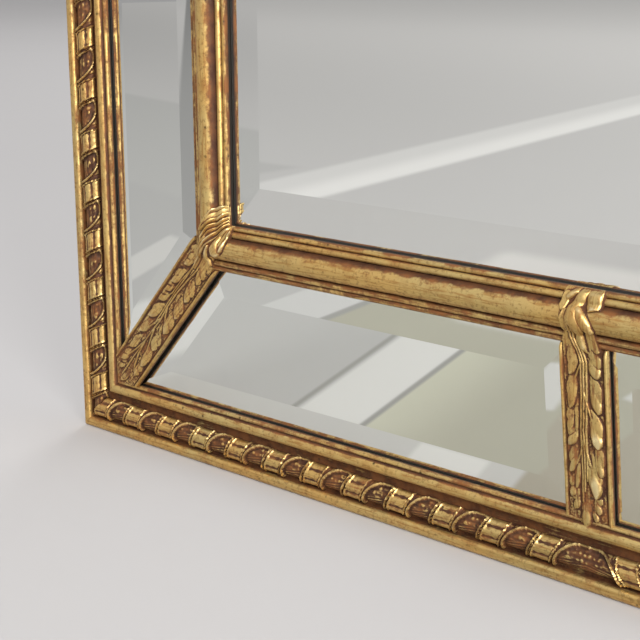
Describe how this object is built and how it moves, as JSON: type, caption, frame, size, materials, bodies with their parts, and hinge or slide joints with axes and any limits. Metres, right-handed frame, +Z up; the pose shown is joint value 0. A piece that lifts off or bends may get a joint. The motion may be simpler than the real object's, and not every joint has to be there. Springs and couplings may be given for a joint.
{
  "type": "gilt wall mirror",
  "caption": "Wall mirror with a carved gilt frame: bevelled centre glass, canted border of bevelled glasses under leaf strips, and swinging hanger rings on the back.",
  "frame": {"origin": "centre of the rear face of the frame and back board", "axes": "+Z up along the height, +X along the width to the viewer's right, +Y towards the wall, so the glass faces -Y"},
  "size_m": [0.838, 0.0528, 1.092],
  "materials": {
    "gilt": "gold leaf over red-brown bole, rubbed and toned",
    "gilt_ornament": "gold leaf on moulded ornament, burnished on the high points and dark in the hollows",
    "mirror_glass": "bevelled silvered glass",
    "pine": "bare planed pine",
    "hardboard": "smooth brown hardboard",
    "steel": "zinc plated",
    "brass": "plated, lightly tarnished",
    "rubber": "matt"
  },
  "bodies": {
    "mirror": {"outer_rail_bottom": "gilt", "ribbon_bar_bottom": "gilt_ornament", "inner_moulding_bottom": "gilt", "ground_board_bottom": "pine", "middle_strip_bottom": "gilt", "middle_leaf_bottom": "gilt_ornament", "outer_rail_left": "gilt", "ribbon_bar_left": "gilt_ornament", "inner_moulding_left": "gilt", "ground_board_left": "pine", "middle_strip_left": "gilt", "middle_leaf_left": "gilt_ornament", "outer_rail_top": "gilt", "ribbon_bar_top": "gilt_ornament", "inner_moulding_top": "gilt", "ground_board_top": "pine", "middle_strip_top": "gilt", "middle_leaf_top": "gilt_ornament", "outer_rail_right": "gilt", "ribbon_bar_right": "gilt_ornament", "inner_moulding_right": "gilt", "ground_board_right": "pine", "middle_strip_right": "gilt", "middle_leaf_right": "gilt_ornament", "corner_strip_bottom_left": "gilt", "corner_leaf_bottom_left": "gilt_ornament", "corner_strip_top_left": "gilt", "corner_leaf_top_left": "gilt_ornament", "corner_strip_top_right": "gilt", "corner_leaf_top_right": "gilt_ornament", "corner_strip_bottom_right": "gilt", "corner_leaf_bottom_right": "gilt_ornament", "border_glass_bottom_left": "mirror_glass", "border_glass_bottom_right": "mirror_glass", "border_glass_left_top": "mirror_glass", "border_glass_left_bottom": "mirror_glass", "border_glass_top_right": "mirror_glass", "border_glass_top_left": "mirror_glass", "border_glass_right_bottom": "mirror_glass", "border_glass_right_top": "mirror_glass", "centre_glass": "mirror_glass", "centre_backing": "hardboard", "glazing_points": "steel", "back_board": "hardboard", "back_screws": "brass", "corner_splines": "pine", "corner_nails": "steel", "frame_clips": "steel", "clip_screws": "steel", "hanger_strap_left": "brass", "hanger_strap_right": "brass", "hanger_screws": "brass", "wall_bumpers": "rubber"},
    "ring_left": {"hanger_ring_left": "brass"},
    "ring_right": {"hanger_ring_right": "brass"}
  },
  "joints": [
    {"name": "ring_left_swing", "type": "hinge", "parent": "mirror", "child": "ring_left", "pos_m": [-0.349, 0.0025, 0.286], "axis": [1, 0, 0], "range_deg": [0, 180]},
    {"name": "ring_right_swing", "type": "hinge", "parent": "mirror", "child": "ring_right", "pos_m": [0.349, 0.0025, 0.286], "axis": [1, 0, 0], "range_deg": [0, 180]}
  ]
}
